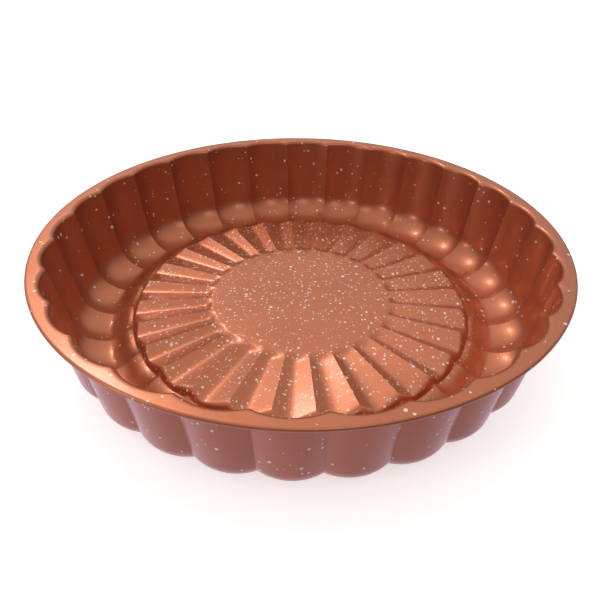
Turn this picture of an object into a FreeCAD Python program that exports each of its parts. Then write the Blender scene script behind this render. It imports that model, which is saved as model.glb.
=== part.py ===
import FreeCAD, Part
import math
import os
import Sketcher

# A round fluted cake pan pressed from one sheet, millimetres, +Z up.
# The origin is on the surface that the pan stands on, at the middle of the pan.
# The wall is a ring of upright flutes, each one a tapered round cup that ends in a bowl,
# and the raised middle is a flat disc inside a ring of saw-tooth pleats, one to each flute.

NODE = "cake_pan"
SHEET = "sizes"
SIZES = [
    ("rim_radius", 135.0, "outer edge of the rim"),
    ("pan_height", 53.0, "top of the rim above the table"),
    ("sheet_thickness", 1.5, "wall, bowls, pleats and disc"),
    ("rim_thickness", 2.2, "rim, whose outer edge is fully rounded"),
    ("flute_count", 28.0, "flutes round the wall, and pleats round the middle"),
    ("flute_axis_radius", 100.8, "from the middle of the pan to the axis of a flute"),
    ("flute_mouth_radius", 28.0, "flute round its own axis, where it meets the rim's top"),
    ("flute_lip_radius", 2.5, "rounding between a flute and the rim's top"),
    ("wall_draft", 8.0, "lean of a flute's wall from upright, degrees"),
    ("bowl_radius", 15.0, "inside rounding at the foot of a flute"),
    ("seat_width", 4.0, "flat ring underneath, from the foot of the middle outwards"),
    ("plateau_height", 12.0, "flat disc above the table"),
    ("disc_radius", 48.6, "flat disc, up to the inner ends of the pleats"),
    ("plateau_foot_radius", 96.5, "where the raised middle meets the channel's floor"),
    ("plateau_lean", 20.0, "lean of the raised middle's side from upright, degrees"),
    ("shoulder_radius", 4.5, "rounding between the pleats and that side"),
    ("foot_radius", 3.0, "rounding between that side and the channel's floor"),
    ("pleat_fall", 2.05, "fall of each pleat's valley away from the middle, degrees"),
    ("pleat_share", 0.38, "share of a pleat taken by its steeper face"),
    ("pleat_end_length", 1.9, "short slope from the disc down into a valley"),
]

# How far solids run into one another so that they join in one piece.
OVERLAP = 1.5


def make_sheet(doc):
    sheet = doc.addObject("Spreadsheet::Sheet", SHEET)
    for row, (alias, number, meaning) in enumerate(SIZES, start=1):
        sheet.set("A%d" % row, alias)
        sheet.set("B%d" % row, "%g" % number)
        sheet.set("C%d" % row, meaning)
        sheet.setAlias("B%d" % row, alias)
    doc.recompute()
    return sheet


def size(name):
    return "%s.%s" % (SHEET, name)


def origin_feature(body, role):
    for feature in body.Origin.OriginFeatures:
        if feature.Role == role:
            return feature
    raise RuntimeError("no origin feature " + role)


def new_sketch(body, name, turn=None):
    """A sketch on the upright plane through the middle, X outwards and Y up.

    turn is the expression of its angle round the pan, in degrees."""
    sketch = body.newObject("Sketcher::SketchObject", name)
    sketch.AttachmentSupport = [(origin_feature(body, "XZ_Plane"), "")]
    sketch.MapMode = "FlatFace"
    if turn is not None:
        upright = FreeCAD.Vector(0, 1, 0)
        angle = sketch.evalExpression(turn)
        sketch.AttachmentOffset = FreeCAD.Placement(FreeCAD.Vector(), FreeCAD.Rotation(upright, angle))
        sketch.setExpression("AttachmentOffset.Rotation.Angle", turn)
    return sketch


def point(x, y):
    return FreeCAD.Vector(x, y, 0)


def line(start, end):
    return Part.LineSegment(point(*start), point(*end))


def arc(centre, radius, first, last):
    """An arc that runs counter-clockwise from the angle first to last, in degrees."""
    circle = Part.Circle(point(*centre), FreeCAD.Vector(0, 0, 1), radius)
    return Part.ArcOfCircle(circle, math.radians(first), math.radians(last))


def touching_ends(one, other):
    """The end numbers, 1 or 2, at which two pieces of an outline meet."""
    best = None
    for i, a in ((1, one.StartPoint), (2, one.EndPoint)):
        for j, b in ((1, other.StartPoint), (2, other.EndPoint)):
            gap = a.distanceToPoint(b)
            if best is None or gap < best[0]:
                best = (gap, i, j)
    return best[1], best[2]


class Outline:
    """A closed outline in a sketch, with its sizes bound to the sheet."""

    def __init__(self, sketch, pieces, smooth):
        """smooth holds the indexes of the pieces that run on tangent into the next."""
        self.sketch = sketch
        self.pieces = pieces
        sketch.addGeometry(pieces, False)
        for index, piece in enumerate(pieces):
            after = (index + 1) % len(pieces)
            near, far = touching_ends(piece, pieces[after])
            kind = "Tangent" if index in smooth else "Coincident"
            sketch.addConstraint(Sketcher.Constraint(kind, index, near, after, far))
            if isinstance(piece, Part.LineSegment):
                self.level(index)

    def level(self, index):
        start, end = self.pieces[index].StartPoint, self.pieces[index].EndPoint
        if abs(start.y - end.y) < 1e-6:
            self.sketch.addConstraint(Sketcher.Constraint("Horizontal", index))
        elif abs(start.x - end.x) < 1e-6:
            self.sketch.addConstraint(Sketcher.Constraint("Vertical", index))

    def bind(self, expression, kind, *where):
        value = float(self.sketch.evalExpression(expression))
        row = self.sketch.addConstraint(Sketcher.Constraint(kind, *where, value))
        self.sketch.setExpression("Constraints[%d]" % row, expression)

    def across(self, index, end, expression):
        self.bind(expression, "DistanceX", -1, 1, index, end)

    def above(self, index, end, expression):
        self.bind(expression, "DistanceY", -1, 1, index, end)

    def on_ground(self, index, end):
        self.sketch.addConstraint(Sketcher.Constraint("PointOnObject", index, end, -1))

    def on_middle(self, index, end):
        self.sketch.addConstraint(Sketcher.Constraint("PointOnObject", index, end, -2))

    def round(self, index, expression):
        self.bind(expression, "Radius", index)

    def concentric(self, index, other):
        self.sketch.addConstraint(Sketcher.Constraint("Coincident", index, 3, other, 3))

    def parallel(self, index, other):
        self.sketch.addConstraint(Sketcher.Constraint("Parallel", index, other))

    def slope(self, index, expression):
        """Angle of a line from its first end to its second, degrees above level."""
        degrees = float(self.sketch.evalExpression(expression))
        row = self.sketch.addConstraint(Sketcher.Constraint("Angle", index, math.radians(degrees)))
        self.sketch.setExpression("Constraints[%d]" % row, "(%s) * 1 deg" % expression)

    def above_one_another(self, index, end, other, other_end):
        self.sketch.addConstraint(Sketcher.Constraint("Vertical", index, end, other, other_end))

    def axis(self, index):
        """Makes the line index of the outline the axis that it is turned about."""
        piece = self.pieces[index]
        added = self.sketch.addGeometry(Part.LineSegment(piece.StartPoint, piece.EndPoint), True)
        self.sketch.addConstraint(Sketcher.Constraint("Coincident", added, 1, index, 1))
        self.sketch.addConstraint(Sketcher.Constraint("Coincident", added, 2, index, 2))


class Numbers:
    """The sheet's present numbers, for placing an outline before its sizes are bound."""

    def __init__(self, sheet):
        for alias, _, _ in SIZES:
            setattr(self, alias, float(sheet.get(alias)))
        self.lean = math.radians(self.wall_draft)
        self.side = math.radians(self.plateau_lean)


def turned(body, kind, name, outline, reference):
    """A solid, or a cut, made by turning an outline right round an axis."""
    feature = body.newObject("PartDesign::" + kind, name)
    feature.Profile = outline.sketch
    feature.ReferenceAxis = (outline.sketch, [reference])
    feature.Angle = 360
    body.Tip = feature
    return feature


def repeated(body, name, original):
    """Repeats a feature round the pan, once to a flute."""
    pattern = body.newObject("PartDesign::PolarPattern", name)
    pattern.Originals = [original]
    pattern.Axis = (origin_feature(body, "Z_Axis"), [""])
    pattern.Angle = 360
    pattern.Occurrences = 28
    pattern.setExpression("Occurrences", size("flute_count"))
    body.Tip = pattern
    return pattern


# The lean of a flute's wall, and what the lip takes of the flute's mouth.
LEAN = "tan(%s)" % size("wall_draft")
UPRIGHT = "cos(%s)" % size("wall_draft")
LIP_REACH = "%s * (1 - sin(%s)) / %s" % (size("flute_lip_radius"), size("wall_draft"), UPRIGHT)

# The base ring ends inside the flutes, at these shares of the bowl's radius.
RING_REACH = 0.55
RING_RISE = 0.22


def base_ring(body, n):
    """The floor of the channel between the flutes' bowls, flat underneath near the middle."""
    hole = n.plateau_foot_radius + OVERLAP / 2
    seat = n.plateau_foot_radius + n.seat_width
    reach = n.flute_axis_radius + RING_REACH * n.bowl_radius
    rise = RING_RISE * n.bowl_radius
    top = rise + n.sheet_thickness
    pieces = [
        line((hole, 0), (seat, 0)),
        line((seat, 0), (reach, rise)),
        line((reach, rise), (reach, top)),
        line((reach, top), (hole, top)),
        line((hole, top), (hole, 0)),
    ]
    outline = Outline(new_sketch(body, "ring_outline"), pieces, [])
    outline.on_ground(0, 1)
    outline.across(0, 1, "%s + %g" % (size("plateau_foot_radius"), OVERLAP / 2))
    outline.across(0, 2, "%s + %s" % (size("plateau_foot_radius"), size("seat_width")))
    outline.across(2, 1, "%s + %g * %s" % (size("flute_axis_radius"), RING_REACH, size("bowl_radius")))
    outline.above(2, 1, "%g * %s" % (RING_RISE, size("bowl_radius")))
    outline.above(3, 2, "%g * %s + %s" % (RING_RISE, size("bowl_radius"), size("sheet_thickness")))
    return turned(body, "Revolution", "base_ring", outline, "V_Axis")


def flute_body(body, n):
    """The outside of one flute, up to the middle of the rim's thickness."""
    top = n.pan_height - n.rim_thickness / 2
    lip = n.flute_lip_radius * (1 - math.sin(n.lean)) / math.cos(n.lean)
    mouth = n.flute_mouth_radius - lip - (n.pan_height - top) * math.tan(n.lean)
    mouth += n.sheet_thickness / math.cos(n.lean)
    radius = n.bowl_radius + n.sheet_thickness
    flat = mouth - (top - radius) * math.tan(n.lean) - radius / math.cos(n.lean)
    middle = n.flute_axis_radius
    wall = (middle - flat - radius * math.cos(n.lean), radius * (1 - math.sin(n.lean)))
    pieces = [
        line((middle, 0), (middle - flat, 0)),
        arc((middle - flat, radius), radius, 180 + n.wall_draft, 270),
        line(wall, (middle - mouth, top)),
        line((middle - mouth, top), (middle, top)),
        line((middle, top), (middle, 0)),
    ]
    outline = Outline(new_sketch(body, "flute_outline"), pieces, [0, 1])
    outline.on_ground(0, 1)
    outline.across(0, 1, size("flute_axis_radius"))
    outline.round(1, "%s + %s" % (size("bowl_radius"), size("sheet_thickness")))
    outline.slope(2, "90 + %s" % size("wall_draft"))
    outline.above(2, 2, "%s - %s / 2" % (size("pan_height"), size("rim_thickness")))
    outline.across(2, 2, "%s - %s + %s + %s / 2 * %s - %s / %s" % (
        size("flute_axis_radius"), size("flute_mouth_radius"), LIP_REACH,
        size("rim_thickness"), LEAN, size("sheet_thickness"), UPRIGHT))
    outline.axis(4)
    feature = turned(body, "Revolution", "flute_body", outline, "Axis0")
    return repeated(body, "flute_bodies", feature)


def rim(body, n):
    """The flat rim with its rounded outer edge."""
    inner = n.flute_axis_radius + n.bowl_radius
    edge = n.rim_radius - n.rim_thickness / 2
    under = n.pan_height - n.rim_thickness
    pieces = [
        line((inner, under), (edge, under)),
        arc((edge, n.pan_height - n.rim_thickness / 2), n.rim_thickness / 2, -90, 90),
        line((edge, n.pan_height), (inner, n.pan_height)),
        line((inner, n.pan_height), (inner, under)),
    ]
    outline = Outline(new_sketch(body, "rim_outline"), pieces, [0, 1])
    outline.across(0, 1, "%s + %s" % (size("flute_axis_radius"), size("bowl_radius")))
    outline.across(0, 2, "%s - %s / 2" % (size("rim_radius"), size("rim_thickness")))
    outline.above(0, 1, "%s - %s" % (size("pan_height"), size("rim_thickness")))
    outline.above(2, 1, size("pan_height"))
    return turned(body, "Revolution", "rim", outline, "V_Axis")


def flute_hollow(body, n):
    """The inside of one flute: bowl, leaning wall and the lip where it meets the rim."""
    middle = n.flute_axis_radius
    mouth, lip, bowl = n.flute_mouth_radius, n.flute_lip_radius, n.bowl_radius
    floor, top = n.sheet_thickness, n.pan_height
    above = top + OVERLAP
    wall_top = (middle - mouth + lip * math.cos(n.lean), top - lip * (1 - math.sin(n.lean)))
    low = floor + bowl * (1 - math.sin(n.lean))
    wall_low = (wall_top[0] + (wall_top[1] - low) * math.tan(n.lean), low)
    bowl_centre = wall_low[0] + bowl * math.cos(n.lean)
    pieces = [
        line((middle, floor), (bowl_centre, floor)),
        arc((bowl_centre, floor + bowl), bowl, 180 + n.wall_draft, 270),
        line(wall_low, wall_top),
        arc((middle - mouth, top - lip), lip, n.wall_draft, 90),
        line((middle - mouth, top), (middle - mouth, above)),
        line((middle - mouth, above), (middle, above)),
        line((middle, above), (middle, floor)),
    ]
    outline = Outline(new_sketch(body, "hollow_outline"), pieces, [0, 1, 2])
    outline.across(0, 1, size("flute_axis_radius"))
    outline.above(0, 1, size("sheet_thickness"))
    outline.round(1, size("bowl_radius"))
    outline.slope(2, "90 + %s" % size("wall_draft"))
    outline.round(3, size("flute_lip_radius"))
    outline.above_one_another(3, 3, 3, 2)
    outline.above(3, 2, size("pan_height"))
    outline.across(3, 2, "%s - %s" % (size("flute_axis_radius"), size("flute_mouth_radius")))
    outline.above(4, 2, "%s + %g" % (size("pan_height"), OVERLAP))
    outline.axis(6)
    feature = turned(body, "Groove", "flute_hollow", outline, "Axis0")
    return repeated(body, "flute_hollows", feature)


def clear_middle(body, n):
    """Opens the middle right through, before the raised part goes in."""
    edge = n.plateau_foot_radius + OVERLAP / 2
    top = n.pan_height + OVERLAP
    pieces = [
        line((0, -OVERLAP), (edge, -OVERLAP)),
        line((edge, -OVERLAP), (edge, top)),
        line((edge, top), (0, top)),
        line((0, top), (0, -OVERLAP)),
    ]
    outline = Outline(new_sketch(body, "middle_outline"), pieces, [])
    outline.on_middle(0, 1)
    outline.bind("%g" % OVERLAP, "DistanceY", 0, 1, -1, 1)
    outline.across(0, 2, "%s + %g" % (size("plateau_foot_radius"), OVERLAP / 2))
    outline.above(2, 1, "%s + %g" % (size("pan_height"), OVERLAP))
    return turned(body, "Groove", "clear_middle", outline, "V_Axis")


def plateau_section(body, n, name, turn, is_valley):
    """Half the sheet's section through the raised middle, from the disc out to the channel.

    Its top runs outwards along a ridge or a valley and down the side; its underside runs back."""
    fall = math.radians(n.pleat_fall) if is_valley else 0.0
    side, top, thick = n.side, n.plateau_height, n.sheet_thickness
    inner = n.disc_radius - OVERLAP
    start = n.disc_radius + n.pleat_end_length
    foot, foot_round, shoulder = n.plateau_foot_radius, n.foot_radius, n.shoulder_radius
    outer = foot + OVERLAP
    # the shoulder's middle, from the pleat's line and the side's line
    side_foot = (foot - foot_round * math.cos(side), thick + foot_round * (1 - math.sin(side)))
    reach = side_foot[0] + side_foot[1] * math.tan(side) - shoulder / math.cos(side)
    height = top - shoulder / math.cos(fall)
    x = (reach - height * math.tan(side)) / (1 - math.tan(fall) * math.tan(side))
    y = height - x * math.tan(fall)
    tilt = 90 - math.degrees(fall)
    lean = math.degrees(side)

    def on_round(centre, radius, degrees):
        angle = math.radians(degrees)
        return (centre[0] + radius * math.cos(angle), centre[1] + radius * math.sin(angle))

    shoulder_at, foot_at = (x, y), (foot, thick + foot_round)
    line_start = (start, top - start * math.tan(fall))
    under_start = (start, line_start[1] - thick / math.cos(fall))
    under = shoulder - thick
    pieces = [
        line((inner, top), (n.disc_radius, top)),
        line((n.disc_radius, top), line_start),
        line(line_start, on_round(shoulder_at, shoulder, tilt)),
        arc(shoulder_at, shoulder, lean, tilt),
        line(on_round(shoulder_at, shoulder, lean), side_foot),
        arc(foot_at, foot_round, 180 + lean, 270),
        line((foot, thick), (outer, thick)),
        line((outer, thick), (outer, 0)),
        line((outer, 0), (foot, 0)),
        arc(foot_at, foot_round + thick, 180 + lean, 270),
        line(on_round(foot_at, foot_round + thick, 180 + lean), on_round(shoulder_at, under, lean)),
        arc(shoulder_at, under, lean, tilt),
        line(on_round(shoulder_at, under, tilt), under_start),
        line(under_start, (n.disc_radius, top - thick)),
        line((n.disc_radius, top - thick), (inner, top - thick)),
        line((inner, top - thick), (inner, top)),
    ]
    outline = Outline(new_sketch(body, name, turn), pieces, [2, 3, 4, 5, 8, 9, 10, 11])
    outline.across(0, 1, "%s - %g" % (size("disc_radius"), OVERLAP))
    outline.above(0, 1, size("plateau_height"))
    outline.across(0, 2, size("disc_radius"))
    line_begins = "(%s + %s)" % (size("disc_radius"), size("pleat_end_length"))
    outline.across(1, 2, line_begins)
    outline.round(3, size("shoulder_radius"))
    outline.slope(4, "%s - 90" % size("plateau_lean"))
    outline.round(5, size("foot_radius"))
    outline.above(6, 1, size("sheet_thickness"))
    outline.across(6, 1, size("plateau_foot_radius"))
    outline.across(6, 2, "%s + %g" % (size("plateau_foot_radius"), OVERLAP))
    outline.on_ground(7, 2)
    outline.concentric(9, 5)
    outline.parallel(10, 4)
    outline.concentric(11, 3)
    outline.across(12, 2, line_begins)
    outline.across(14, 1, size("disc_radius"))
    if is_valley:
        outline.above(1, 2, "%s - %s * tan(%s)" % (size("plateau_height"), line_begins, size("pleat_fall")))
        outline.slope(2, "-%s" % size("pleat_fall"))
        outline.parallel(12, 2)
        outline.above(14, 1, "%s - %s" % (size("plateau_height"), size("sheet_thickness")))
    return outline.sketch


def pleats(body, n):
    """The pleated ring: straight from ridge to valley and from valley to ridge, all round."""
    half_turn = "180 deg / %s" % size("flute_count")
    first = "-1 * %s" % half_turn
    low = "%s * (2 * %s - 1)" % (half_turn, size("pleat_share"))
    ridge = plateau_section(body, n, "ridge_section", first, False)
    valley = plateau_section(body, n, "valley_section", low, True)
    next_ridge = plateau_section(body, n, "next_ridge_section", half_turn, False)
    pleat = body.newObject("PartDesign::AdditiveLoft", "pleat")
    pleat.Profile = ridge
    pleat.Sections = [valley, next_ridge]
    pleat.Ruled = True
    body.Tip = pleat
    return repeated(body, "pleats", pleat)


def disc(body, n):
    """The flat disc in the middle."""
    radius = n.disc_radius - OVERLAP / 2
    top, under = n.plateau_height, n.plateau_height - n.sheet_thickness
    pieces = [
        line((0, under), (radius, under)),
        line((radius, under), (radius, top)),
        line((radius, top), (0, top)),
        line((0, top), (0, under)),
    ]
    outline = Outline(new_sketch(body, "disc_outline"), pieces, [])
    outline.on_middle(0, 1)
    outline.above(0, 1, "%s - %s" % (size("plateau_height"), size("sheet_thickness")))
    outline.across(0, 2, "%s - %g" % (size("disc_radius"), OVERLAP / 2))
    outline.above(2, 1, size("plateau_height"))
    return turned(body, "Revolution", "disc", outline, "V_Axis")


def cake_pan(doc, sheet):
    body = doc.addObject("PartDesign::Body", NODE)
    body.Label = NODE
    n = Numbers(sheet)
    for step in (base_ring, flute_body, rim, flute_hollow, clear_middle, pleats, disc):
        before = 0.0 if body.Tip is None else body.Shape.Volume
        step(body, n)
        doc.recompute()
        print("%-14s volume %.0f -> %.0f" % (step.__name__, before, body.Shape.Volume))
    return body


def check(doc, body):
    for thing in doc.Objects:
        if "Invalid" in thing.State or "Error" in thing.State:
            raise RuntimeError("%s failed: %s" % (thing.Name, thing.State))
    if body.Shape.isNull() or not body.Shape.isValid() or len(body.Shape.Solids) != 1:
        raise RuntimeError("%s isn't one valid solid" % body.Label)


def main():
    doc = FreeCAD.newDocument("cake_pan_model")
    sheet = make_sheet(doc)
    body = cake_pan(doc, sheet)
    check(doc, body)
    os.makedirs("parts", exist_ok=True)
    body.Shape.exportStep(os.path.join("parts", body.Label + ".step"))
    box = body.Shape.BoundBox
    print("faces", len(body.Shape.Faces), "box", box)


main()
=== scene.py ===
import math
from collections import namedtuple

import bpy
from mathutils import Matrix, Vector

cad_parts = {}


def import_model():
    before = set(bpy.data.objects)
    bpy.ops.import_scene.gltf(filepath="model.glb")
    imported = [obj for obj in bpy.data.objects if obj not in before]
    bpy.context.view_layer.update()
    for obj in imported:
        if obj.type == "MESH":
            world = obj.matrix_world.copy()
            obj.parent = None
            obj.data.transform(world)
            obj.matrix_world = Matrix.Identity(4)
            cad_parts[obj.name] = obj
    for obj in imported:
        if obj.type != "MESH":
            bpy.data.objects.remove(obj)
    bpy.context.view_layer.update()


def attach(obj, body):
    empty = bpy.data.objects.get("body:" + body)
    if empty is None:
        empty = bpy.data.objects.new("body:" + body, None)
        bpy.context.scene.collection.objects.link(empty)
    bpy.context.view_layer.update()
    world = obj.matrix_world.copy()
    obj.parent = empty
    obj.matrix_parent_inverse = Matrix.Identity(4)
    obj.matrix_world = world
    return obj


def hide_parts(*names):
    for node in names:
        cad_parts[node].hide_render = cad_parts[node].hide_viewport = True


# A round fluted cake pan with a copper-coloured speckled coating. Lengths are in metres.

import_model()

MM = 0.001
FLUTES = 28
# half the turn from one flute to the next
HALF = math.pi / FLUTES

# The rim and the sheet.
RIM_RADIUS = 135.0 * MM
HEIGHT = 53.0 * MM
SHEET = 1.5 * MM
RIM_THICK = 2.2 * MM

# A flute: a leaning tube round an axis of its own, AXIS away from the pan's middle, with a lip at
# the top and a bowl at the bottom. MOUTH is its radius at the end of the lip.
AXIS = 100.8 * MM
MOUTH = 30.2 * MM
LIP = 2.5 * MM
DRAFT = math.radians(8.0)
BOWL = 15.0 * MM
BOWL_FLAT = 3.0 * MM

# The raised middle: a disc, the pleats round it, and a side that leans down to the channel.
TOP = 12.0 * MM
DISC = 48.6 * MM
PLEAT_START = 5.0 * MM
FALL = math.tan(math.radians(2.05))
STEEP_SHARE = 0.38
VALLEY = HALF * (2 * STEEP_SHARE - 1)
VALLEY_SOFT = 0.16
SHOULDER = 4.5 * MM
SHOULDER_AT_VALLEY = 2.0 * MM
SIDE_LEAN = math.radians(20.0)
SIDE_REACH = 6.0 * MM
FOOT = 96.5 * MM
FOOT_ROUND = 3.0 * MM

# The channel's floor slopes up from its lowest ring towards the raised middle.
RISE = 4.5 * MM
RISE_START = 94.0 * MM
LOWEST = 106.0 * MM

# How finely each stretch of the surface is divided.
ACROSS_FLUTE = 16
VALLEY_COLUMN = 6
DISC_RINGS = (0.3, 0.6, 0.85)
PLEAT_STEPS = 21
PLEAT_CROWDING = 1.3
SHOULDER_STEPS = 8
FOOT_STEPS = 6
CHANNEL_STEPS = 4
BOWL_STEPS = 26
BOWL_STEPS_OUTSIDE = 16
WALL_STEPS = 8
LIP_STEPS = 7
RIM_FLAT_STEPS = 4
RIM_ROUND_STEPS = 8
SHARP_EDGE = math.radians(32)

# The coating.
COPPER_DARK = (0.46, 0.142, 0.064, 1)
COPPER_LIGHT = (0.53, 0.168, 0.078, 1)
TONE_FROM, TONE_TO = 0.3, 0.7
TONE_SCALE = 28.0
METALLIC = 0.85
SMOOTHEST, ROUGHEST = 0.36, 0.44
COAT = 0.4
COAT_ROUGHNESS = 0.14
GRAIN_SCALE = 900.0
GRAIN_STRENGTH = 0.12
GRAIN_DEPTH = 0.2 * MM

# A layer of flecks has its cells per metre, the radius of its largest flecks as a share of a cell,
# the share of the cells that hold one, and how far its pattern is shifted.
FLECK_COLOUR = (0.80, 0.66, 0.55, 1)
SPARSE_FLECKS = (
    (420.0, 0.32, 0.09, 1.0),
    (250.0, 0.27, 0.12, 4.0),
    (130.0, 0.16, 0.10, 9.0),
)
DENSE_FLECKS = (
    (420.0, 0.34, 0.34, 2.0),
    (720.0, 0.36, 0.30, 6.0),
    (260.0, 0.26, 0.24, 11.0),
)
FLECK_SHIFT = (1.0, 0.7, 1.3)
SMALLEST_FLECK = 0.45
FLECK_EDGE = 0.25

# The raised middle carries the dense flecks too, which fade out towards this radius.
SPECKLED_RADIUS = 99.0 * MM
SPECKLE_FADE = 0.9

# The surroundings that the coating reflects. Heights run from 0 straight below to 1 straight above,
# with the horizon at 0.5.
BELOW_HEIGHT = 0.47
BELOW_COLOUR = (0.78, 0.74, 0.94, 1)
SKY_TINT = (1.0, 0.97, 0.95)
SKY_LEVELS = ((0.52, 0.08), (0.60, 0.22), (0.75, 0.72), (0.95, 1.0))
BRIGHT_SIDE = (-0.45, 0.89, 0.0)
STRENGTH_OPPOSITE = 0.40
STRENGTH_BRIGHT = 1.45

FLOOR_HALF = 3.0
FLOOR_DROP = 0.2 * MM
FLOOR_GLOW = 0.5
WHITE = (1, 1, 1, 1)

# The camera, worked out from the rim's outline, the flutes and the pleats in the photograph.
CAMERA_AZIMUTH = math.radians(271.51)
CAMERA_OUT = 265.1 * MM
CAMERA_ABOVE_RIM = 147.7 * MM
AIM_TURN = math.radians(1.51)
AIM = (-0.27 * MM, -61.6 * MM)
ROLL = math.radians(0.716)
FOCAL_PIXELS = 577.55
IMAGE_PIXELS = 600
SENSOR_WIDTH_MM = 36.0
NEAREST_SEEN = 10 * MM

Flute = namedtuple("Flute", "wide radius centre_z end_turn reach wall_top")


def flute_profile(offset):
    """A flute's bowl and wall, moved outwards from the pan's inside by the offset."""
    wall_top = HEIGHT - LIP * (1 - math.sin(DRAFT))
    reach = MOUTH - LIP * math.cos(DRAFT) + offset / math.cos(DRAFT)
    radius = BOWL + offset
    centre_z = SHEET + BOWL
    low_z = centre_z - radius * math.sin(DRAFT)
    low_reach = reach - (wall_top - low_z) * math.tan(DRAFT)
    flat = low_reach - radius * math.cos(DRAFT)
    wide = flat + radius - BOWL_FLAT
    end_turn = math.atan(wide / (radius * math.tan(DRAFT)))
    return Flute(wide, radius, centre_z, end_turn, reach, wall_top)


def smooth(x):
    """Runs from 0 to 1 with a level start and end."""
    x = min(max(x, 0.0), 1.0)
    return x * x * (3 - 2 * x)


def channel_rise(r):
    """How far the sloping floor of the channel lifts the surface at radius r."""
    return RISE * (1 - smooth((r - RISE_START) / (LOWEST - RISE_START)))


def bowl_height(s, offset):
    """Height of a bowl's surface at distance s from its flute's axis, less the channel's rise."""
    flute = flute_profile(offset)
    out = min(max(s - BOWL_FLAT, 0.0), flute.wide)
    return flute.centre_z - flute.radius * math.sqrt(1 - (out / flute.wide) ** 2)


def channel_at(phi, r, offset):
    """Height of the channel or its bowls at radius r and azimuth phi from a flute's axis."""
    s = math.sqrt(r * r + AXIS * AXIS - 2 * r * AXIS * math.cos(phi))
    return bowl_height(s, offset) + channel_rise(r)


def from_axis(phi, s):
    """Radius from the pan's middle of the point of a column at distance s from a flute's axis."""
    across = AXIS * math.sin(phi)
    return AXIS * math.cos(phi) + math.sqrt(max(s * s - across * across, 0.0))


def valley_depth(phi):
    """1 along a valley and 0 along a ridge, with a soft valley and a crisp ridge."""
    span = phi - VALLEY
    x = span / (HALF - VALLEY) if span > 0 else -span / (HALF + VALLEY)
    soft = math.sqrt(x * x + VALLEY_SOFT ** 2) - VALLEY_SOFT
    return 1 - soft / (math.sqrt(1 + VALLEY_SOFT ** 2) - VALLEY_SOFT)


def arc(start, along, across, radius, turn, steps):
    """Points of an arc from its start, which sets out along one direction and bends to the other."""
    points = []
    for i in range(steps + 1):
        a = turn * i / steps
        points.append(start + radius * (math.sin(a) * along + (1 - math.cos(a)) * across))
    return points


def raised_middle(phi, drop):
    """Section of the raised middle at one column, from the disc's edge to the channel."""
    depth = valley_depth(phi)
    fall = FALL * depth
    lean = math.tan(SIDE_LEAN)
    bend = math.pi / 2 - SIDE_LEAN
    side = Vector((math.sin(SIDE_LEAN), -math.cos(SIDE_LEAN)))
    foot_reach = FOOT - FOOT_ROUND * math.tan(bend / 2)
    foot_start = Vector((foot_reach, SHEET)) - side * FOOT_ROUND * math.tan(bend / 2)
    # where the pleat's line meets the side's line
    corner_r = (foot_reach - (TOP - SHEET) * lean) / (1 - fall * lean)
    corner = Vector((corner_r, TOP - fall * corner_r))
    out = Vector((1.0, -fall)).normalized()
    turn = bend - math.atan(fall)
    rounding = SHOULDER + (SHOULDER_AT_VALLEY - SHOULDER) * depth
    shoulder_start = corner - out * rounding * math.tan(turn / 2)
    points = []
    for i in range(PLEAT_STEPS + 1):
        r = DISC + (shoulder_start.x - DISC) * (i / PLEAT_STEPS) ** PLEAT_CROWDING
        points.append((r, TOP - fall * r * smooth((r - DISC) / PLEAT_START)))
    shoulder = arc(shoulder_start, out, Vector((out.y, -out.x)), rounding, turn, SHOULDER_STEPS)
    foot = arc(foot_start, side, Vector((-side.y, side.x)), FOOT_ROUND, bend, FOOT_STEPS)
    points += [tuple(point) for point in shoulder[1:]]
    points.append(tuple((shoulder[-1] + foot_start) / 2))
    points += [tuple(point) for point in foot]
    return [(r, z - drop) for r, z in points]


def bowl_points(phi, offset, steps):
    """A column's points from the crest, where flutes meet, over its bowl to the foot of the wall."""
    flute = flute_profile(offset)
    across = AXIS * abs(math.sin(phi))
    first = math.asin(max(across - BOWL_FLAT, 0.0) / flute.wide)
    points = []
    for i in range(steps + 1):
        turn = first + (flute.end_turn - first) * i / steps
        s = across if i == 0 else BOWL_FLAT + flute.wide * math.sin(turn)
        r = from_axis(phi, s)
        points.append((r, bowl_height(s, offset) + channel_rise(r)))
    return points


def wall_foot(flute):
    """Distance from the flute's axis and height at which its bowl runs on into its wall."""
    s = BOWL_FLAT + flute.wide * math.sin(flute.end_turn)
    return s, flute.centre_z - flute.radius * math.cos(flute.end_turn)


def channel_points(phi, offset):
    """A column's points from the foot of the raised middle to where its bowl's own points start."""
    begin = AXIS * math.cos(phi)
    radii = [FOOT + (begin - FOOT) * i / CHANNEL_STEPS for i in range(1, CHANNEL_STEPS)]
    return [(r, channel_at(phi, r, offset)) for r in radii]


def inside_wall(phi):
    """Up the inside of a column: channel, bowl, wall and lip."""
    flute = flute_profile(0.0)
    low_s, low_z = wall_foot(flute)
    points = channel_points(phi, 0.0) + bowl_points(phi, 0.0, BOWL_STEPS)
    for i in range(1, WALL_STEPS + 1):
        share = i / WALL_STEPS
        s = low_s + (flute.reach - low_s) * share
        points.append((from_axis(phi, s), low_z + (flute.wall_top - low_z) * share))
    for i in range(1, LIP_STEPS + 1):
        a = (math.pi / 2 - DRAFT) * i / LIP_STEPS + DRAFT
        r = from_axis(phi, MOUTH - LIP * math.cos(a))
        points.append((r, HEIGHT - LIP + LIP * math.sin(a)))
    return points


def rim(flat_start):
    """The flat of the rim, from where the lip ends, and its rounded outer edge."""
    half = RIM_THICK / 2
    middle = RIM_RADIUS - half
    points = []
    for i in range(1, RIM_FLAT_STEPS):
        points.append((flat_start + (middle - flat_start) * i / RIM_FLAT_STEPS, HEIGHT))
    for i in range(RIM_ROUND_STEPS + 1):
        a = math.pi * i / RIM_ROUND_STEPS
        points.append((middle + half * math.sin(a), HEIGHT - half + half * math.cos(a)))
    return points


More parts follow.
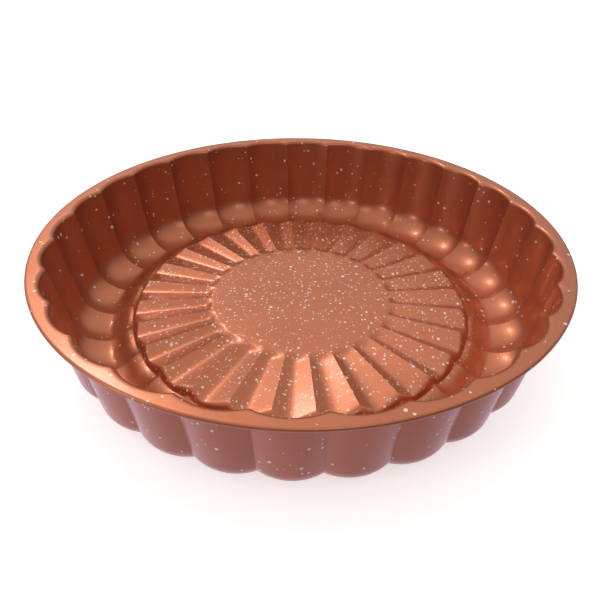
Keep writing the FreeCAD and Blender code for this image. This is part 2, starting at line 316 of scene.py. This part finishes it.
def outside_wall(phi):
    """Down the outside of a column, round its bowl and in under the channel."""
    flute = flute_profile(SHEET)
    low_s, low_z = wall_foot(flute)
    under_rim = HEIGHT - RIM_THICK
    top_s = flute.reach + (under_rim - flute.wall_top) * math.tan(DRAFT)
    points = []
    for i in range(WALL_STEPS + 1):
        share = i / WALL_STEPS
        s = top_s + (low_s - top_s) * share
        points.append((from_axis(phi, s), under_rim + (low_z - under_rim) * share))
    points += reversed(bowl_points(phi, SHEET, BOWL_STEPS_OUTSIDE)[:-1])
    points += reversed(channel_points(phi, SHEET))
    return points


def column(k):
    """The azimuth of a column in its flute, and the one it has on the pleats."""
    phi = -HALF + k * 2 * HALF / ACROSS_FLUTE
    if k <= VALLEY_COLUMN:
        pleat = -HALF + (VALLEY + HALF) * k / VALLEY_COLUMN
    else:
        pleat = VALLEY + (HALF - VALLEY) * (k - VALLEY_COLUMN) / (ACROSS_FLUTE - VALLEY_COLUMN)
    return phi, pleat


def down_the_side(r):
    """0 on the pleats and 1 at the foot of the raised middle."""
    return smooth((r - FOOT + SIDE_REACH) / SIDE_REACH)


def onto_scoops(phi, pleat, rows, offset):
    """Runs the side of the raised middle down onto the scoops between the crests."""
    placed = []
    for r, z in rows:
        share = down_the_side(r)
        azimuth = pleat + (phi - pleat) * share
        if share > 0:
            z = max(z, channel_at(azimuth, r, offset))
        placed.append((azimuth, r, z))
    return placed


def section(k):
    """All the points of one column, from the disc over the rim to the underside of the disc."""
    phi, pleat = column(k)
    under = [(r - SHEET * down_the_side(r), max(z, 0.0)) for r, z in raised_middle(pleat, SHEET)]
    inside = inside_wall(phi)
    lip_end = inside[-1][0]
    rows = [(pleat, DISC * share, TOP) for share in DISC_RINGS]
    rows += onto_scoops(phi, pleat, raised_middle(pleat, 0.0), 0.0)
    rows += [(phi, r, z) for r, z in inside + rim(lip_end) + outside_wall(phi)]
    rows += reversed(onto_scoops(phi, pleat, under, SHEET))
    rows += [(pleat, DISC * share, TOP - SHEET) for share in reversed(DISC_RINGS)]
    return rows


def pan_mesh():
    """The whole skin of the pan: columns side by side, closed at the disc's two middles."""
    sections = [section(k) for k in range(ACROSS_FLUTE)]
    rows = len(sections[0])
    vertices = []
    for flute in range(FLUTES):
        for points in sections:
            for phi, r, z in points:
                a = phi + 2 * HALF * flute
                vertices.append((r * math.cos(a), r * math.sin(a), z))
    top_middle = len(vertices)
    under_middle = top_middle + 1
    vertices += [(0.0, 0.0, TOP), (0.0, 0.0, TOP - SHEET)]
    columns = FLUTES * ACROSS_FLUTE
    faces = []
    for i in range(columns):
        here = i * rows
        beside = (i + 1) % columns * rows
        for row in range(rows - 1):
            faces.append((here + row, here + row + 1, beside + row + 1, beside + row))
    for i in range(columns):
        here = i * rows
        beside = (i + 1) % columns * rows
        faces.append((top_middle, here, beside))
        faces.append((under_middle, beside + rows - 1, here + rows - 1))
    mesh = bpy.data.meshes.new("pan")
    mesh.from_pydata(vertices, [], faces)
    mesh.validate()
    mesh.polygons.foreach_set("use_smooth", [True] * len(mesh.polygons))
    mesh.set_sharp_from_angle(angle=SHARP_EDGE)
    mesh.update()
    return mesh


def put(tree, value, socket):
    """Sets a socket to a value, or links it to another node's output."""
    if isinstance(value, bpy.types.NodeSocket):
        tree.links.new(value, socket)
    else:
        socket.default_value = value


def add(tree, kind, **inputs):
    """A new node with its inputs put in. An underscore in an input's name stands for a space."""
    node = tree.nodes.new(kind)
    for name, value in inputs.items():
        put(tree, value, node.inputs[name.replace("_", " ")])
    return node


def operate(tree, kind, operation, *values):
    """A new Math or Vector Math node that works on the values in turn."""
    node = tree.nodes.new(kind)
    node.operation = operation
    for socket, value in zip(node.inputs, values):
        put(tree, value, socket)
    return node


def calculate(tree, operation, *values):
    return operate(tree, "ShaderNodeMath", operation, *values).outputs[0]


def mix_colours(tree, share, first, second):
    node = tree.nodes.new("ShaderNodeMix")
    node.data_type = "RGBA"
    colours = {socket.name: socket for socket in node.inputs if socket.type == "RGBA"}
    put(tree, share, node.inputs["Factor"])
    put(tree, first, colours["A"])
    put(tree, second, colours["B"])
    return [socket for socket in node.outputs if socket.type == "RGBA"][0]


def mix_shaders(tree, share, first, second):
    node = tree.nodes.new("ShaderNodeMixShader")
    for socket, value in zip(node.inputs, (share, first, second)):
        tree.links.new(value, socket)
    return node.outputs[0]


def fleck_layer(tree, coords, cells_per_metre, size, share, shift):
    """Small round flecks of different sizes: 1 inside a fleck and 0 outside, with a soft edge."""
    shifts = [shift * part for part in FLECK_SHIFT]
    moved = operate(tree, "ShaderNodeVectorMath", "ADD", coords, shifts).outputs["Vector"]
    cells = add(tree, "ShaderNodeTexVoronoi", Vector=moved, Scale=cells_per_metre, Randomness=1.0)
    lot = add(tree, "ShaderNodeSeparateColor", Color=cells.outputs["Color"])
    chosen = calculate(tree, "LESS_THAN", lot.outputs[0], share)
    reach = add(tree, "ShaderNodeMapRange", Value=lot.outputs[1],
                To_Min=size * SMALLEST_FLECK, To_Max=size).outputs[0]
    inside = calculate(tree, "SUBTRACT", reach, cells.outputs["Distance"])
    edge = add(tree, "ShaderNodeMapRange", Value=inside, From_Max=size * FLECK_EDGE).outputs[0]
    return calculate(tree, "MULTIPLY", edge, chosen)


def largest(tree, values):
    total = values[0]
    for value in values[1:]:
        total = calculate(tree, "MAXIMUM", total, value)
    return total


def within(tree, coords, radius):
    """1 near the pan's middle, fading to 0 at the radius."""
    level = operate(tree, "ShaderNodeVectorMath", "MULTIPLY", coords, (1, 1, 0)).outputs["Vector"]
    away = operate(tree, "ShaderNodeVectorMath", "LENGTH", level).outputs["Value"]
    fade = add(tree, "ShaderNodeMapRange", Value=away, From_Min=radius,
               From_Max=radius * SPECKLE_FADE)
    return fade.outputs[0]


def flecks(tree, coords):
    """Sparse flecks all over, and dense ones on the raised middle."""
    sparse = [fleck_layer(tree, coords, *layer) for layer in SPARSE_FLECKS]
    dense = [fleck_layer(tree, coords, *layer) for layer in DENSE_FLECKS]
    middle = within(tree, coords, SPECKLED_RADIUS)
    dense_here = calculate(tree, "MULTIPLY", largest(tree, dense), middle)
    return largest(tree, sparse + [dense_here])


def coating():
    """Satin copper-coloured coating with pale flecks."""
    material = bpy.data.materials.new("copper_coating")
    material.use_nodes = True
    tree = material.node_tree
    shader = tree.nodes["Principled BSDF"]
    coords = tree.nodes.new("ShaderNodeTexCoord").outputs["Object"]
    fleck = flecks(tree, coords)
    cloud = add(tree, "ShaderNodeTexNoise", Vector=coords, Scale=TONE_SCALE, Detail=5.0,
                Roughness=0.6).outputs["Fac"]
    tone = add(tree, "ShaderNodeValToRGB", Fac=cloud)
    dark, light = tone.color_ramp.elements
    dark.position, dark.color = TONE_FROM, COPPER_DARK
    light.position, light.color = TONE_TO, COPPER_LIGHT
    colour = mix_colours(tree, fleck, tone.outputs["Color"], FLECK_COLOUR)
    metal = add(tree, "ShaderNodeMapRange", Value=fleck, To_Min=METALLIC, To_Max=0.0)
    rough = add(tree, "ShaderNodeMapRange", Value=cloud, To_Min=SMOOTHEST, To_Max=ROUGHEST)
    grain = add(tree, "ShaderNodeTexNoise", Vector=coords, Scale=GRAIN_SCALE, Detail=3.0)
    bump = add(tree, "ShaderNodeBump", Height=grain.outputs["Fac"], Strength=GRAIN_STRENGTH,
               Distance=GRAIN_DEPTH)
    put(tree, colour, shader.inputs["Base Color"])
    put(tree, metal.outputs[0], shader.inputs["Metallic"])
    put(tree, rough.outputs[0], shader.inputs["Roughness"])
    put(tree, bump.outputs[0], shader.inputs["Normal"])
    put(tree, COAT, shader.inputs["Coat Weight"])
    put(tree, COAT_ROUGHNESS, shader.inputs["Coat Roughness"])
    return material


def pan(material):
    piece = bpy.data.objects.new("coated_pan", pan_mesh())
    bpy.context.scene.collection.objects.link(piece)
    piece.data.materials.append(material)
    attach(piece, "root")
    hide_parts("cake_pan")


def floor_material():
    """Matt white, seen by the camera from above only, so that from below the pan shows."""
    material = bpy.data.materials.new("floor_white")
    material.use_nodes = True
    tree = material.node_tree
    shader = tree.nodes["Principled BSDF"]
    shader.inputs["Base Color"].default_value = WHITE
    shader.inputs["Roughness"].default_value = 1.0
    shader.inputs["Emission Color"].default_value = WHITE
    shader.inputs["Emission Strength"].default_value = FLOOR_GLOW
    camera_ray = tree.nodes.new("ShaderNodeLightPath").outputs["Is Camera Ray"]
    from_below = tree.nodes.new("ShaderNodeNewGeometry").outputs["Backfacing"]
    seen = operate(tree, "ShaderNodeMath", "SUBTRACT", camera_ray, from_below)
    seen.use_clamp = True
    clear = tree.nodes.new("ShaderNodeBsdfTransparent").outputs[0]
    mixed = mix_shaders(tree, seen.outputs[0], clear, shader.outputs[0])
    tree.links.new(mixed, tree.nodes["Material Output"].inputs["Surface"])
    return material


def floor():
    mesh = bpy.data.meshes.new("floor")
    half = FLOOR_HALF
    corners = [(-half, -half, 0.0), (half, -half, 0.0), (half, half, 0.0), (-half, half, 0.0)]
    mesh.from_pydata(corners, [], [(0, 1, 2, 3)])
    mesh.materials.append(floor_material())
    obj = bpy.data.objects.new("floor", mesh)
    obj.location.z = -FLOOR_DROP
    bpy.context.scene.collection.objects.link(obj)


def sky_colour(tree, way):
    """A pale underside, then dark from the horizon up and light overhead."""
    parts = add(tree, "ShaderNodeSeparateXYZ", Vector=way)
    height = add(tree, "ShaderNodeMapRange", Value=parts.outputs["Z"], From_Min=-1.0)
    sky = add(tree, "ShaderNodeValToRGB", Fac=height.outputs[0])
    ramp = sky.color_ramp
    below, overhead = ramp.elements
    below.position, below.color = BELOW_HEIGHT, BELOW_COLOUR
    overhead.position = SKY_LEVELS[-1][0]
    overhead.color = (*SKY_TINT, 1)
    for position, level in SKY_LEVELS[:-1]:
        ramp.elements.new(position).color = [level * part for part in SKY_TINT] + [1]
    return sky.outputs["Color"]


def sky_strength(tree, way):
    """Stronger behind the pan and to its left than opposite."""
    towards = operate(tree, "ShaderNodeVectorMath", "DOT_PRODUCT", way, BRIGHT_SIDE)
    side = add(tree, "ShaderNodeMapRange", Value=towards.outputs["Value"], From_Min=-1.0,
               To_Min=STRENGTH_OPPOSITE, To_Max=STRENGTH_BRIGHT)
    return side.outputs[0]


def world():
    """White to the camera, and a graded light for everything else."""
    scene = bpy.context.scene
    scene.world = bpy.data.worlds.new("studio")
    scene.world.use_nodes = True
    tree = scene.world.node_tree
    tree.nodes.clear()
    way = tree.nodes.new("ShaderNodeTexCoord").outputs["Generated"]
    seen = add(tree, "ShaderNodeBackground", Color=WHITE, Strength=1.0).outputs[0]
    fill = add(tree, "ShaderNodeBackground", Color=sky_colour(tree, way),
               Strength=sky_strength(tree, way)).outputs[0]
    camera_ray = tree.nodes.new("ShaderNodeLightPath").outputs["Is Camera Ray"]
    add(tree, "ShaderNodeOutputWorld", Surface=mix_shaders(tree, camera_ray, fill, seen))


def area_light(name, place, aim, size, power, colour=(1, 1, 1)):
    """A round lamp, its size in metres and its power in watts."""
    data = bpy.data.lights.new(name, "AREA")
    data.shape = "DISK"
    data.size = size
    data.energy = power
    data.color = colour
    obj = bpy.data.objects.new(name, data)
    obj.location = place
    way = Vector(aim) - Vector(place)
    obj.rotation_euler = way.to_track_quat("-Z", "Y").to_euler()
    bpy.context.scene.collection.objects.link(obj)


def lights():
    middle = (0, 0, 0.02)
    right_side = (0.05, 0.05, 0.03)
    area_light("window", place=(-0.50, 0.62, 0.85), aim=middle, size=0.22, power=2.0,
               colour=(1.0, 0.98, 0.95))
    area_light("front", place=(0.25, -0.9, 0.9), aim=middle, size=0.7, power=1.5)
    area_light("streak", place=(-0.75, -0.45, 0.30), aim=right_side, size=0.20, power=0.9,
               colour=(0.86, 0.84, 1.0))


def camera():
    """At the photograph's place, turned and rolled as the photograph is."""
    place = Vector((CAMERA_OUT * math.cos(CAMERA_AZIMUTH), CAMERA_OUT * math.sin(CAMERA_AZIMUTH),
                    HEIGHT + CAMERA_ABOVE_RIM))
    c, s = math.cos(AIM_TURN), math.sin(AIM_TURN)
    target = Vector((AIM[0] * c - AIM[1] * s, AIM[0] * s + AIM[1] * c, HEIGHT))
    way = (target - place).normalized()
    right = way.cross(Vector((0, 0, 1))).normalized()
    up = right.cross(way)
    tilted_right = math.cos(ROLL) * right + math.sin(ROLL) * up
    tilted_up = -math.sin(ROLL) * right + math.cos(ROLL) * up
    data = bpy.data.cameras.new("camera")
    data.sensor_width = SENSOR_WIDTH_MM
    data.lens = SENSOR_WIDTH_MM * FOCAL_PIXELS / IMAGE_PIXELS
    data.clip_start = NEAREST_SEEN
    obj = bpy.data.objects.new("camera", data)
    axes = Matrix((tilted_right, tilted_up, -way)).transposed().to_4x4()
    obj.matrix_world = Matrix.Translation(place) @ axes
    bpy.context.scene.collection.objects.link(obj)
    bpy.context.scene.camera = obj


pan(coating())
floor()
world()
lights()
camera()
bpy.context.scene.view_settings.view_transform = "Standard"
